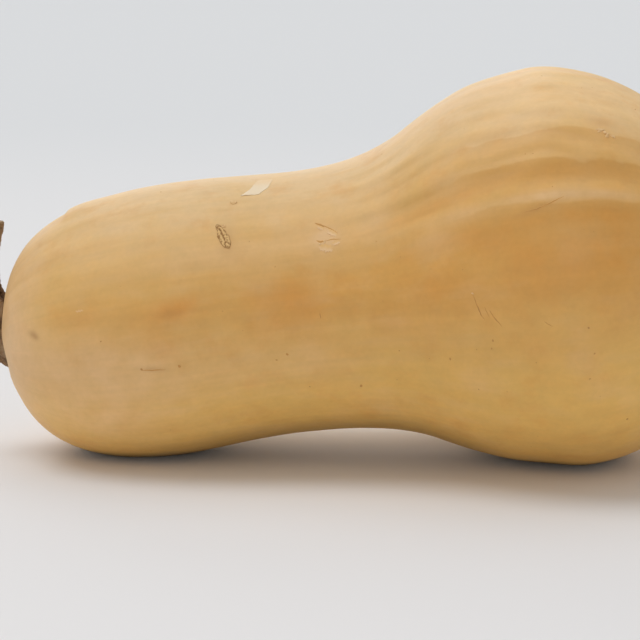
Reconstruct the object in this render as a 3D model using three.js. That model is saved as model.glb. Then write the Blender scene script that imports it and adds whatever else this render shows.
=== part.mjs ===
// A butternut squash lying on its side: the fruit, and the dry stem it hung from.
// Millimetres, +Z up. +X runs from the stem end to the blossom end and the floor is at Z = 0.
import * as THREE from 'three';

// The fruit, measured along its own axis from the stem pole to the blossom pole.
const FRUIT_LENGTH = 247;
const GIRTH = [          // distance along the axis, radius before the ends close
  [54, 45.5],            // swell of the neck
  [97, 43.5],            // waist
  [120, 45],
  [134, 48.8],           // shoulder
  [148, 56],
  [161, 61.6],
  [174, 64.6],
  [190, 66.5],           // widest part of the bulb
];
const RISE = [           // distance along the axis, height of the centre line
  [0, -1.5],
  [40, -1],
  [80, 0.5],
  [120, 0.5],
  [165, 2.7],
  [247, -0.5],
];
const WIDTH_RATIO = 1.04;                       // wider than tall, as it has settled on its side
const STEM_END = { length: 66, power: 2.8 };    // each end closes as a superellipse
const BLOSSOM_END = { length: 66, power: 2 };
const BLOSSOM_DIMPLE = { radius: 16, depth: 1.6 };
const FRUIT_RINGS = 50;
const FRUIT_SEGMENTS = 60;

// How it lies: neck and bulb both touch the floor, each on a small flat patch of skin.
const LIE_ANGLE = THREE.MathUtils.degToRad(7.36);
const REST_SINK = 0.8;                          // how far the round skin is pressed flat

// The stem stands on a flat seat at the stem pole and bends up, so its sections fan out.
const SEAT_DEPTH = 0.7;                         // how far the pole is cut back for the seat
const GAP = 0.3;                                // between the seat and the stem
const STEM_SECTIONS = [                         // along, sideways, up, lean in degrees, radius
  [0, 0, 1.8, 0, 12.2],                         // base, which flares on to the fruit
  [-2, 0, 2.8, 8, 11.4],
  [-5.2, 0.1, 5.4, 24, 10.2],
  [-8, 0.4, 9.8, 48, 8.8],
  [-9, 0.9, 16.7, 88, 7.4],                     // out of the bend, now upright
  [-8.2, 1.7, 26, 97, 7],
  [-7.1, 2.3, 32.5, 100, 7.1],
  [-6.2, 2.8, 38.8, 97, 8.1],                   // swells again at the cut end
  [-6.1, 2.9, 39.8, 97, 7.7],
];
const RINGS_PER_SECTION = 2;
const STEM_SEGMENTS = 20;
const STEM_LOBES = 5;
const LOBE_HEIGHT = 0.07;                       // share of the radius

const FRUIT_MATERIAL = new THREE.MeshStandardMaterial({ color: 0xcfa468, roughness: 0.55, metalness: 0 });
const STEM_MATERIAL = new THREE.MeshStandardMaterial({ color: 0x76593c, roughness: 0.9, metalness: 0 });

// A smooth curve through [position, value] pairs, level at both ends.
function smoothThrough(pairs) {
  const last = pairs.length - 1;
  const slope = (i) => (i === 0 || i === last
    ? 0
    : (pairs[i + 1][1] - pairs[i - 1][1]) / (pairs[i + 1][0] - pairs[i - 1][0]));
  return (position) => {
    const at = THREE.MathUtils.clamp(position, pairs[0][0], pairs[last][0]);
    const i = Math.min(pairs.findLastIndex(([start]) => start <= at), last - 1);
    const [[start, from], [end, to]] = [pairs[i], pairs[i + 1]];
    const span = end - start;
    const t = (at - start) / span;
    return from
      + (to - from) * t * t * (3 - 2 * t)
      + span * t * (1 - t) * (slope(i) * (1 - t) - slope(i + 1) * t);
  };
}

// Goes from 0 at a pole to 1 where the round end meets the body.
function closing(distance, { length, power }) {
  const inward = 1 - THREE.MathUtils.clamp(distance / length, 0, 1);
  return (1 - inward ** power) ** (1 / power);
}

const girthAt = smoothThrough(GIRTH);
const riseAt = smoothThrough(RISE);

function fruitRadius(along) {
  return girthAt(along) * closing(along, STEM_END) * closing(FRUIT_LENGTH - along, BLOSSOM_END);
}

// The meridian, with rings closer together near the poles.
function fruitMeridian() {
  const points = [];
  for (let ring = 0; ring <= FRUIT_RINGS; ring += 1) {
    const along = (FRUIT_LENGTH / 2) * (1 - Math.cos((Math.PI * ring) / FRUIT_RINGS));
    const isPole = ring === 0 || ring === FRUIT_RINGS;
    points.push(new THREE.Vector2(isPole ? 0 : fruitRadius(along), along));
  }
  return points;
}

function dimpleAt(along, radius) {
  if (along < FRUIT_LENGTH / 2 || radius > BLOSSOM_DIMPLE.radius) {
    return 0;
  }
  return BLOSSOM_DIMPLE.depth * (1 - (radius / BLOSSOM_DIMPLE.radius) ** 2) ** 2;
}

function fruitGeometry() {
  const geometry = new THREE.LatheGeometry(fruitMeridian(), FRUIT_SEGMENTS);
  geometry.rotateZ(-Math.PI / 2);
  const position = geometry.attributes.position;
  for (let i = 0; i < position.count; i += 1) {
    const [along, side, up] = [position.getX(i), position.getY(i), position.getZ(i)];
    const seated = Math.max(along, SEAT_DEPTH) - dimpleAt(along, Math.hypot(side, up));
    position.setXYZ(i, seated, side * WIDTH_RATIO, up + riseAt(along));
  }
  return geometry;
}

// Presses the skin flat where it would reach below the floor.
function flattenAtFloor(geometry) {
  const position = geometry.attributes.position;
  for (let i = 0; i < position.count; i += 1) {
    position.setZ(i, Math.max(position.getZ(i), 0));
  }
}

// One column of the sections as a smooth function of the ring number.
function stemColumn(column) {
  return smoothThrough(STEM_SECTIONS.map((section, i) => [i * RINGS_PER_SECTION, section[column]]));
}

// A lathe of rings, each moved to its place along the stem and given five lobes.
function stemGeometry() {
  const lastRing = (STEM_SECTIONS.length - 1) * RINGS_PER_SECTION;
  const outline = [new THREE.Vector2(0, 0)];
  for (let ring = 0; ring <= lastRing; ring += 1) {
    outline.push(new THREE.Vector2(1, ring));
  }
  outline.push(new THREE.Vector2(0, lastRing));
  const geometry = new THREE.LatheGeometry(outline, STEM_SEGMENTS);
  const [alongAt, sideAt, upAt, leanAt, radiusAt] = [0, 1, 2, 3, 4].map(stemColumn);
  const position = geometry.attributes.position;
  for (let i = 0; i < position.count; i += 1) {
    const [x, ring, z] = [position.getX(i), position.getY(i), position.getZ(i)];
    const angle = Math.atan2(x, z);
    const lobed = radiusAt(ring) * (1 + LOBE_HEIGHT * Math.cos(STEM_LOBES * angle));
    const outward = Math.hypot(x, z) * lobed * Math.cos(angle);
    const beside = Math.hypot(x, z) * lobed * Math.sin(angle);
    const lean = THREE.MathUtils.degToRad(leanAt(ring));
    position.setXYZ(
      i,
      alongAt(ring) - outward * Math.sin(lean),
      sideAt(ring) - beside,
      upAt(ring) - outward * Math.cos(lean),
    );
  }
  return geometry;
}

// Both shapes turn from the fruit's own axes to how it lies, neck and bulb on the floor.
const fruitShape = fruitGeometry().rotateY(-LIE_ANGLE);
fruitShape.computeBoundingBox();
const lift = -fruitShape.boundingBox.min.z - REST_SINK;
fruitShape.translate(0, 0, lift);
flattenAtFloor(fruitShape);
const stemShape = stemGeometry()
  .translate(SEAT_DEPTH - GAP, 0, 0)
  .rotateY(-LIE_ANGLE)
  .translate(0, 0, lift);

function namedMesh(name, geometry, material) {
  geometry.computeVertexNormals();
  const mesh = new THREE.Mesh(geometry, material);
  mesh.name = name;
  return mesh;
}

const squash = new THREE.Group().add(
  namedMesh('squash_fruit', fruitShape, FRUIT_MATERIAL),
  namedMesh('stem', stemShape, STEM_MATERIAL),
);

// The origin is on the floor, under the middle of the whole squash.
const middle = new THREE.Box3().setFromObject(squash).getCenter(new THREE.Vector3());
squash.position.set(-middle.x, -middle.y, 0);

export default squash;
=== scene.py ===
"""A butternut squash lying on its side on a pale floor, with its dry stem and the marks on its skin.

The fruit is measured along its own axis, from the stem to the blossom end. An angle round the fruit is
0 on top and grows towards the front. Blender's lengths are metres, and the shape's are millimetres.
"""

import math

import bmesh
import bpy
import numpy as np
from bpy.props import FloatProperty, FloatVectorProperty, IntProperty, PointerProperty
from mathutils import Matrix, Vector, noise
from mathutils.bvhtree import BVHTree


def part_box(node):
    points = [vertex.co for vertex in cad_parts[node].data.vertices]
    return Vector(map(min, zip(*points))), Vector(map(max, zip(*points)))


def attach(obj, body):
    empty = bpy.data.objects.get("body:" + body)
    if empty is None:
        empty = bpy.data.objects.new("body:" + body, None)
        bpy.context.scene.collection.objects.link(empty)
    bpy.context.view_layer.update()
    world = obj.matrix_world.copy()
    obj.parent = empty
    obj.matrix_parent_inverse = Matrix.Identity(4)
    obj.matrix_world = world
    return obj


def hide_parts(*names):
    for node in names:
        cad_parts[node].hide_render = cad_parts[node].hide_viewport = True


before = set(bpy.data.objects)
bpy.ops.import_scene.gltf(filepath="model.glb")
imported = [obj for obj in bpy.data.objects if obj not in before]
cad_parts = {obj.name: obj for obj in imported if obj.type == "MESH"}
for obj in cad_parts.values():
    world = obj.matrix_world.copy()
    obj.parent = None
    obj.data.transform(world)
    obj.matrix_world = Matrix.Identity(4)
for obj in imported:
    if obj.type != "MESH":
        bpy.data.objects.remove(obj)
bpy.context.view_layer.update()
FRUIT_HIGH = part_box("squash_fruit")[1]

bl_info = {
    "name": "Butternut Squash",
    "version": (1, 0, 0),
    "blender": (4, 5, 0),
    "location": "3D View > Sidebar > Squash",
    "description": "Builds a butternut squash with its stem, its marks and a studio floor",
    "category": "Add Mesh",
}

MM = 0.001
BODY = "root"

# ---- The squash's shape, in millimetres ----

GIRTH = [               # distance along the axis, radius before the ends close
    (54, 45.5),         # swell of the neck
    (97, 43.5),         # waist
    (120, 45),
    (134, 48.8),        # shoulder
    (148, 56),
    (161, 61.6),
    (174, 64.6),
    (190, 66.5),        # widest part of the bulb
]
RISE = [                # distance along the axis, height of the centre line
    (0, -1.5),
    (40, -1),
    (80, 0.5),
    (120, 0.5),
    (165, 2.7),
    (247, -0.5),
]
STEM_END = (66, 2.8)    # each end closes as a superellipse: length, power
BLOSSOM_END = (66, 2)
DIMPLE_RADIUS = 16      # of the hollow at the blossom pole
SEAT_DEPTH = 0.7        # how far the stem pole is cut back under the stem
REST_SINK = 0.8         # how far the round skin is pressed flat on the floor
STEM_GAP = 0.3          # between the seat and the stem
SAMPLES_ALONG = 400     # places where the smooth fruit's reach is measured
SAMPLES_ROUND = 181

STEM_SECTIONS = [       # along, sideways, up, lean in degrees, radius
    (0, 0, 1.8, 0, 12.2),           # base, which flares on to the fruit
    (-2, 0, 2.8, 8, 11.4),
    (-5.2, 0.1, 5.4, 24, 10.2),
    (-8, 0.4, 9.8, 48, 8.8),
    (-9, 0.9, 16.7, 88, 7.0),       # out of the bend, now upright
    (-8.2, 1.7, 26, 97, 6.3),
    (-7.1, 2.3, 32.5, 100, 6.6),
    (-6.2, 2.8, 38.8, 97, 7.8),     # swells again at the cut end
    (-6.1, 2.9, 39.8, 97, 7.4),
]

# ---- The skin's marks: along the fruit in millimetres, and round it in degrees from the top ----

ORANGE_PATCHES = [      # along, round, half length, half width in millimetres, lean in degrees, strength
    (62.5, 78.5, 6, 3.4, -10, 0.9),
    (70, 74, 5, 2.2, -30, 0.2),
    (99, 77, 11, 6, 0, 0.6),
    (104, 85, 7, 4, 10, 0.4),
    (31, 75, 8, 4, 0, 0.45),
    (147, 84, 8, 4, 5, 0.4),
    (185, 80, 25, 9, 0, 0.6),
    (188, 54.5, 24, 3, 0, 0.6),
    (190, 68, 26, 3, 0, 0.6),
    (150, 70, 16, 3, -4, 0.4),
    (150, 57.5, 20, 2.4, 0, 0.5),
    (167, 73, 9, 4, -8, 0.5),
    (203, 70, 9, 9, 0, 0.5),
    (203, 37.5, 4, 3, 0, 0.35),
    (84, -70, 9, 5, 20, 0.7),
    (150, -95, 16, 8, -10, 0.7),
    (40, -120, 10, 6, 0, 0.5),
    (196, -60, 18, 8, 12, 0.6),
]
PINK_PATCHES = [
    (113, 55.5, 4.5, 5, 0, 1.0),
    (190, 62.5, 22, 1.8, 0, 1.0),
    (158, 64, 13, 2.4, 4, 0.5),
    (85, 59, 46, 4.5, 0, 0.45),
    (148, 69, 7, 3, 0, 0.4),
    (25, 94, 26, 9, 4, 0.65),
    (10, 78, 9, 12, 0, 0.5),
    (58, 101, 26, 9, 6, 0.25),
    (32, 119, 28, 14, 0, 0.65),
    (94, 109, 22, 8, 0, 0.3),
    (165, 14, 24, 10, 0, 0.5),
    (6, 92, 6, 14, 0, 0.6),
    (60, -100, 30, 14, 0, 0.6),
    (185, -130, 24, 12, 0, 0.5),
]
STAINS = [
    (15.4, 79, 1.8, 1.1, 30, 0.5),
    (16.3, 81, 1.2, 0.9, 0, 0.25),
    (81.5, 51, 2.6, 5.5, 0, 0.2),
    (203, 37.3, 3.2, 1.4, 0, 0.12),
    (61.5, 79.5, 3, 1.6, 0, 0.12),
    (54, 100.5, 4.5, 0.9, 8, 0.3),
    (181.5, 65.2, 6.5, 0.9, -16, 0.25),
    (137, -60, 3, 2, 30, 0.5),
    (72, -140, 4, 3, 0, 0.4),
]


def smooth_through(pairs):
    """A smooth curve through (position, value) pairs, level at both ends, as a function of an array."""
    places, values = np.array(pairs, float).T
    slopes = np.zeros(len(places))
    slopes[1:-1] = (values[2:] - values[:-2]) / (places[2:] - places[:-2])

    def curve(position):
        at = np.clip(position, places[0], places[-1])
        i = np.clip(np.searchsorted(places, at, side="right") - 1, 0, len(places) - 2)
        span = places[i + 1] - places[i]
        t = (at - places[i]) / span
        bend = slopes[i] * (1 - t) - slopes[i + 1] * t
        return values[i] + (values[i + 1] - values[i]) * t * t * (3 - 2 * t) + span * t * (1 - t) * bend

    return curve


girth_at = smooth_through(GIRTH)
rise_at = smooth_through(RISE)


def limited(value):
    """Kept from 0 to 1."""
    return np.clip(value, 0, 1)


def closing(distance, end, clamped=limited):
    """Goes from 0 at a pole to 1 where the round end meets the body, for an array or a node's value."""
    length, power = end
    return (1 - (1 - clamped(distance / length)) ** power) ** (1 / power)


class FruitShape:
    """Where the smooth fruit lies: its axis turned by the lie angle, neck and bulb both on the floor."""

    def __init__(self, sizes):
        self.length = sizes.length / MM
        self.width_ratio = sizes.width_ratio
        self.lie = sizes.lie_angle
        self.shift = np.zeros(3)
        half_turn = np.linspace(0, np.pi, SAMPLES_ALONG)
        along = self.length / 2 * (1 - np.cos(half_turn))
        underside = self.place(along, np.full_like(along, 180.0))
        everywhere = self.place(along[:, None], np.linspace(0, 360, SAMPLES_ROUND)[None, :])
        self.shift = np.array([
            FRUIT_HIGH.x / MM - everywhere[..., 0].max(),
            0,
            -underside[:, 2].min() - REST_SINK,
        ])

    def radius(self, along):
        """The fruit's radius at that distance from its stem pole."""
        return girth_at(along) * closing(along, STEM_END) * closing(self.length - along, BLOSSOM_END)

    def turned(self, along, side, up):
        """From the fruit's own axes to the squash's, in millimetres."""
        x = along * math.cos(self.lie) - up * math.sin(self.lie)
        z = along * math.sin(self.lie) + up * math.cos(self.lie)
        return np.stack(np.broadcast_arrays(x, side, z), -1) + self.shift

    def arc(self, along):
        """Millimetres round the skin for each degree."""
        return self.radius(along) * math.pi / 180

    def place(self, along, angle, proud=0.0):
        """A point of the smooth skin, at an angle in degrees, or that far proud of it."""
        turn = np.radians(angle)
        out = self.radius(along) + proud
        side = -self.width_ratio * out * np.sin(turn)
        return self.turned(along, side, out * np.cos(turn) + rise_at(along))


# ---- Node trees ----


class Value:
    """A number in a node tree. Arithmetic on it adds Math nodes."""

    def __init__(self, graph, socket):
        self.graph = graph
        self.socket = socket

    def __neg__(self):
        return 0 - self

    def __abs__(self):
        return self.graph.maths("ABSOLUTE", self)


def add_arithmetic(name, operation):
    """Lets a Value stand on either side of one of Python's operators."""
    setattr(Value, f"__{name}__", lambda self, other: self.graph.maths(operation, self, other))
    setattr(Value, f"__r{name}__", lambda self, other: self.graph.maths(operation, other, self))


ARITHMETIC = {"add": "ADD", "sub": "SUBTRACT", "mul": "MULTIPLY", "truediv": "DIVIDE", "pow": "POWER"}
for sign, operation in ARITHMETIC.items():
    add_arithmetic(sign, operation)


class Graph:
    """Adds nodes to one tree. An input is a number, a colour, a vector, a Value or another node's socket."""

    def __init__(self, tree):
        self.tree = tree

    def node(self, kind, settings=None, inputs=None):
        """A new node. Its settings come first, and an input is named by its number or its name."""
        made = self.tree.nodes.new(kind)
        for name, setting in (settings or {}).items():
            if name == "curve":
                self.set_curve(made, setting)
            else:
                setattr(made, name, setting)
        for name, value in (inputs or {}).items():
            self.feed(next(s for i, s in enumerate(made.inputs) if s.enabled and name in (i, s.name)), value)
        return made

    def result(self, kind, settings=None, inputs=None):
        """A new node's first output in use."""
        return next(socket for socket in self.node(kind, settings, inputs).outputs if socket.enabled)

    def feed(self, socket, value):
        """Links a socket to a value, or sets it."""
        source = value.socket if isinstance(value, Value) else value
        if isinstance(source, bpy.types.NodeSocket):
            self.tree.links.new(source, socket)
        elif socket.type == "RGBA":
            socket.default_value = opaque(source)
        else:
            socket.default_value = source

    @staticmethod
    def set_curve(made, points):
        """Gives a Float Curve node these points, whose ends come first and last."""
        mapping = made.mapping
        curve = mapping.curves[0]
        for at, height in points[1:-1]:
            curve.points.new(at, height)
        curve.points[0].location = points[0]
        curve.points[len(points) - 1].location = points[-1]
        mapping.update()

    def maths(self, operation, *values):
        """What a Math node makes of the values."""
        return Value(self, self.result("ShaderNodeMath", {"operation": operation}, dict(enumerate(values))))

    def clamped(self, value):
        """Kept from 0 to 1."""
        return Value(self, self.result("ShaderNodeClamp", None, {"Value": value}))

    def fade(self, value, start, end, low=0.0, high=1.0):
        """Goes smoothly from low at start to high at end."""
        ends = {"From Min": start, "From Max": end, "To Min": low, "To Max": high}
        made = self.result(
            "ShaderNodeMapRange", {"interpolation_type": "SMOOTHSTEP"}, {"Value": value, **ends}
        )
        return Value(self, made)

    def joined(self, x, y, z):
        """A vector of three numbers."""
        return self.result("ShaderNodeCombineXYZ", None, {0: x, 1: y, 2: z})

    def parts(self, vector):
        """The three numbers of a vector."""
        made = self.node("ShaderNodeSeparateXYZ", None, {0: vector})
        return [Value(self, socket) for socket in made.outputs]

    def noise(self, place, size, seed, detail, roughness=0.5):
        """Cloudy noise about 0.5, with features of about that size."""
        look = {"W": seed, "Scale": 1 / size, "Detail": detail, "Roughness": roughness}
        return Value(self, self.result(
            "ShaderNodeTexNoise", {"noise_dimensions": "4D"}, {"Vector": place, **look}
        ))


class GeometryTree(Graph):
    """A geometry node tree with named inputs, whose result becomes a plain mesh object."""

    SOCKETS = {float: "NodeSocketFloat", int: "NodeSocketInt", bpy.types.Material: "NodeSocketMaterial"}

    def __init__(self, name, values):
        super().__init__(bpy.data.node_groups.new(name, "GeometryNodeTree"))
        self.values = values
        self.tree.interface.new_socket("Geometry", in_out="INPUT", socket_type="NodeSocketGeometry")
        self.tree.interface.new_socket("Geometry", in_out="OUTPUT", socket_type="NodeSocketGeometry")
        self.identifiers = {}
        for label, value in values.items():
            socket = self.tree.interface.new_socket(
                label, in_out="INPUT", socket_type=self.SOCKETS[type(value)]
            )
            self.identifiers[label] = socket.identifier
        self.start = self.tree.nodes.new("NodeGroupInput")

    def given(self, label):
        """The tree's input of that name. A decimal number comes as a Value."""
        socket = self.start.outputs[label]
        return Value(self, socket) if type(self.values.get(label)) is float else socket

    def stored(self, geometry, name, kind, value):
        """Keeps a value on the points, under that name."""
        return self.result(
            "GeometryNodeStoreNamedAttribute",
            {"data_type": kind, "domain": "POINT"},
            {"Geometry": geometry, "Name": name, "Value": value},
        )

    def finished(self, geometry, material):
        """Ends the tree: instances made real, smooth shading and the material."""
        real = self.result("GeometryNodeRealizeInstances", None, {0: geometry})
        smooth = self.result("GeometryNodeSetShadeSmooth", None, {"Geometry": real})
        dressed = self.result(
            "GeometryNodeSetMaterial", None, {"Geometry": smooth, "Material": self.given(material)}
        )
        self.node("NodeGroupOutput", None, {0: dressed})

    def grown(self, name, source=None):
        """A new object holding the tree's result, on a source mesh if it needs one."""
        holder = bpy.data.objects.new(name, source or bpy.data.meshes.new(name))
        bpy.context.scene.collection.objects.link(holder)
        modifier = holder.modifiers.new(name, "NODES")
        modifier.node_group = self.tree
        for label, value in self.values.items():
            modifier[self.identifiers[label]] = value
        bpy.context.view_layer.update()
        evaluated = holder.evaluated_get(bpy.context.evaluated_depsgraph_get())
        mesh = bpy.data.meshes.new_from_object(evaluated)
        mesh.name = name
        # The result can hold an empty slot beside its material's.
        for slot in reversed(range(len(mesh.materials))):
            if mesh.materials[slot] is None:
                mesh.materials.pop(index=slot)
        holder.modifiers.remove(modifier)
        holder.data = mesh
        return holder


class Finish(Graph):
    """A material's shader tree."""

    def __init__(self, name):
        self.material = bpy.data.materials.new(name)
        self.material.use_nodes = True
        super().__init__(self.material.node_tree)
        self.tree.nodes.clear()

    def number(self, attribute):
        """A number kept on the mesh's points."""
        made = self.node("ShaderNodeAttribute", {"attribute_name": attribute})
        return Value(self, made.outputs["Fac"])

    def vector(self, attribute):
        """A vector kept on the mesh's points."""
        return self.node("ShaderNodeAttribute", {"attribute_name": attribute}).outputs["Vector"]

    def object_place(self):
        """The place in millimetres, from the object's own coordinates."""
        place = self.node("ShaderNodeTexCoord").outputs["Object"]
        return self.result("ShaderNodeMapping", None, {"Vector": place, "Scale": (1 / MM,) * 3})

    def mixed(self, share, first, second, blend="MIX"):
        """The second colour over the first, by that share."""
        return self.result(
            "ShaderNodeMix",
            {"data_type": "RGBA", "blend_type": blend, "clamp_factor": True},
            {"Factor": share, "A": first, "B": second},
        )

    def layered(self, colour, *layers):
        """Colours laid one over another, each given by its share and itself."""
        for share, over in layers:
            colour = self.mixed(share, colour, over)
        return colour

    def bump(self, height, distance):
        """The way the surface faces where the height roughens it."""
        return self.result("ShaderNodeBump", None, {"Height": height, "Distance": distance})

    def shaded(self, **sockets):
        """Ends the tree with the surface's shader."""
        named = {name.replace("_", " ").title().replace("Ior", "IOR"): v for name, v in sockets.items()}
        shader = self.result("ShaderNodeBsdfPrincipled", None, named)
        self.node("ShaderNodeOutputMaterial", None, {"Surface": shader})
        return self.material


def opaque(colour):
    """The colour with an alpha of 1."""
    return (*tuple(colour)[:3], 1.0)


# ---- Meshes from grids of points ----


def mesh_piece(name, points, faces, finish, paints):
    """A smooth closed mesh object from points in millimetres, with named values painted on the points."""
    mesh = bpy.data.meshes.new(name)
    mesh.from_pydata((np.asarray(points) * MM).tolist(), [], [list(map(int, face)) for face in faces])
    outwards = bmesh.new()
    outwards.from_mesh(mesh)
    bmesh.ops.recalc_face_normals(outwards, faces=outwards.faces)
    outwards.to_mesh(mesh)
    outwards.free()
    mesh.shade_smooth()
    mesh.materials.append(finish)
    for label, values in paints.items():
        attribute = mesh.attributes.new(label, "FLOAT", "POINT")
        attribute.data.foreach_set("value", np.asarray(values, np.float32).ravel())
    piece = bpy.data.objects.new(name, mesh)
    bpy.context.scene.collection.objects.link(piece)
    return piece


def sheet_faces(rows, columns):
    """Faces of a closed body between an upper and a lower grid, whose points follow the upper one's."""
    index = np.arange(rows * columns).reshape(rows, columns)
    upper = np.stack([index[:-1, :-1], index[1:, :-1], index[1:, 1:], index[:-1, 1:]], -1).reshape(-1, 4)
    lower = upper[:, ::-1] + rows * columns
    rim = np.concatenate([index[0, :-1], index[:-1, -1], index[-1, :0:-1], index[:0:-1, 0]])
    after = np.roll(rim, -1)
    wall = np.stack([rim, rim + rows * columns, after + rows * columns, after], -1)
    return np.concatenate([upper, lower, wall])


def joined_sheets(name, sheets, finish):
    """One piece of several closed sheets, each an upper grid, a lower grid and its painted values."""
    points, faces, paints = [], [], {}
    for upper, lower, painted in sheets:
        start = sum(map(len, points))
        faces.extend(sheet_faces(*upper.shape[:2]) + start)
        points.extend([upper.reshape(-1, 3), lower.reshape(-1, 3)])
        for label, values in painted.items():
            paints.setdefault(label, []).append(np.tile(np.ravel(values), 2))
    return mesh_piece(
        name, np.concatenate(points), faces, finish,
        {label: np.concatenate(values) for label, values in paints.items()},
    )


def tube_faces(rows, columns):
    """Faces of rings of points that close at a pole at each end. The two poles come last."""
    index = np.arange(rows * columns).reshape(rows, columns)
    beside = np.roll(index, -1, axis=1)
    quads = np.stack([index[:-1], beside[:-1], beside[1:], index[1:]], -1).reshape(-1, 4)
    start, end = rows * columns, rows * columns + 1
    first = [(start, b, a) for a, b in zip(index[0], beside[0])]
    last = [(end, a, b) for a, b in zip(index[-1], beside[-1])]
    return [*quads, *first, *last]


def tube_piece(name, rings, finish, paints):
    """A piece from rings of points. A pole takes the paint of the ring beside it."""
    return mesh_piece(
        name,
        np.concatenate([rings.reshape(-1, 3), rings[[0, -1]].mean(axis=1)]),
        tube_faces(*rings.shape[:2]),
        finish,
        {label: np.concatenate([value.ravel(), value[[0, -1], 0]]) for label, value in paints.items()},
    )


def rough(points, size, seed):
    """Noise from -1 to 1 at each point, with features of about that size in millimetres."""
    offset = Vector((seed * 17.3, seed * 5.1, 0.0))
    flat = np.asarray(points, float).reshape(-1, 3) / size
    values = [noise.noise(Vector(point) + offset) for point in flat.tolist()]
    return np.array(values).reshape(np.shape(points)[:-1])


# ---- Settings ----


def length(name, description, default):
    """A setting that is a length, in metres."""
    return FloatProperty(name=name, description=description, default=default, unit="LENGTH", precision=5)


def angle(name, description, degrees):
    """A setting that is an angle, given in degrees."""
    return FloatProperty(
        name=name, description=description, default=math.radians(degrees), subtype="ANGLE"
    )


def colour(name, description, default):
    """A setting that is a colour."""
    return FloatVectorProperty(
        name=name, description=description, default=default, subtype="COLOR", size=3, min=0, max=1
    )


class FruitSizes(bpy.types.PropertyGroup):
    """Sizes of the fruit"""

    length: length("Length", "From the stem pole to the blossom pole", 0.247)
    width_ratio: FloatProperty(name="Width Ratio", description="Width over height", default=1.04)
    lie_angle: angle("Lie Angle", "How far the axis rises towards the bulb", 7.36)
    ribs: IntProperty(name="Ribs", description="Shallow ribs round the fruit", default=22, min=1)
    rib_height: length("Rib Height", "How far a rib stands out", 0.00011)
    brow: length("Brow", "Height of the main rib's ledge", 0.0005)
    wrinkle: length("Wrinkle", "Height of the wavy wrinkles on the bulb's shoulder", 0.00026)
    groove: length("Groove", "Depth of the furrow above the main rib", 0.0004)
    unevenness: length("Unevenness", "How far the skin swells and sinks", 0.0004)
    dimple: length("Blossom Dimple", "Depth of the hollow at the blossom end", 0.0016)
    collar: length("Collar", "Height of the raised skin round the stem", 0.0007)
    welt: length("Welt", "Height of the fold of skin on the neck's shoulder", 0.00085)


class StemSizes(bpy.types.PropertyGroup):
    """Sizes of the stem"""

    ridge: FloatProperty(name="Ridge", description="Height of the five ridges over the radius", default=0.1)
    flare: FloatProperty(name="Flare", description="How much wider the foot spreads", default=0.05)
    crust: length("Crust", "Roughness of the corky bark", 0.00035)


class MarkSizes(bpy.types.PropertyGroup):
    """Sizes of the marks on the skin"""

    scar_length: length("Scar Length", "Length of the corky scar on the neck", 0.0103)
    scar_width: length("Scar Width", "Width of the corky scar on the neck", 0.0035)
    scar_height: length("Scar Height", "How far the corky scar stands out", 0.0007)
    flake_thickness: length("Flake Thickness", "Thickness of the peeled film", 0.00012)
    button_radius: length("Button Radius", "Radius of the blossom scar", 0.0046)
    freckles: FloatProperty(name="Freckles", description="Freckles per square metre", default=1500)


class SkinColours(bpy.types.PropertyGroup):
    """Colours of the skin"""

    tan: colour("Tan", "Most of the skin", (0.73, 0.435, 0.144))
    ochre: colour("Ochre", "The bulb and the flanks", (0.685, 0.35, 0.083))
    orange: colour("Orange", "Ripe patches", (0.66, 0.295, 0.062))
    # The cream on the crown is partly a painted highlight on the top side.
    cream: colour("Cream", "The crown", (0.77, 0.535, 0.27))
    blush: colour("Blush", "Greyish pink patches", (0.76, 0.49, 0.245))
    olive: colour("Olive", "Faint green clouds", (0.655, 0.435, 0.14))
    straw: colour("Straw", "The lower side", (0.74, 0.46, 0.13))
    umber: colour("Umber", "Stains", (0.335, 0.155, 0.05))
    film: colour("Film", "Peeled skin and crumbs", (0.79, 0.63, 0.42))


class BarkColours(bpy.types.PropertyGroup):
    """Colours of the stem and the corky scars"""

    dark: colour("Dark Bark", "Hollows of the bark", (0.085, 0.042, 0.02))
    brown: colour("Brown Bark", "Most of the bark", (0.27, 0.155, 0.075))
    pale: colour("Pale Bark", "Worn ridges and the foot of the stem", (0.42, 0.31, 0.19))
    pith: colour("Pith", "The cut end", (0.52, 0.40, 0.235))
    cork: colour("Cork", "Ridges of the healed scars", (0.76, 0.50, 0.215))
    rust: colour("Rust", "Furrows of the healed scars", (0.36, 0.19, 0.065))


class StageSettings(bpy.types.PropertyGroup):
    """Floor, light and camera"""

    floor: colour("Floor", "Colour of the floor", (0.79, 0.78, 0.78))
    # The far floor's colour is painted shade, for the light's fall-off behind the squash.
    floor_far_shade: colour("Far Floor", "Colour of the floor far behind", (0.71, 0.72, 0.73))
    walls: colour("Walls", "Colour of the room", (0.985, 0.99, 1.0))
    lamps: FloatProperty(name="Lamps", description="Strength of all the lamps", default=0.95)
    overhead: FloatProperty(name="Overhead", description="Brightness of the room overhead", default=0.475)
    horizon: FloatProperty(name="Horizon", description="How much brighter it is low down", default=0.29)
    camera_distance: length("Camera Distance", "From the camera to the point it looks at", 0.75)
    camera_height: angle("Camera Height", "Angle of the camera above the floor", 9.5)
    camera_turn: angle("Camera Turn", "How far the camera stands towards the bulb", 3.6)
    focal_length: FloatProperty(name="Focal Length", description="In millimetres", default=125.9)


# ---- The fruit ----

FRUIT_RINGS = 260
FRUIT_SEGMENTS = 360
CURVE_STEPS = 40        # steps in which a shape's curve is carried into a node tree
MAIN_RIB = 63.5         # degrees from the top, on the bulb
RIB_DRIFT = 11          # degrees that the ribs lean towards the top at the stem
RIB_DRIFT_LENGTH = 180  # over which they lean
WRINKLES = 40           # round the fruit, though only the shoulder shows them
DEGREES = math.degrees(1)
PATTERN_RADIUS = 55     # taken for the whole fruit by the patterns that run lengthwise


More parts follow.
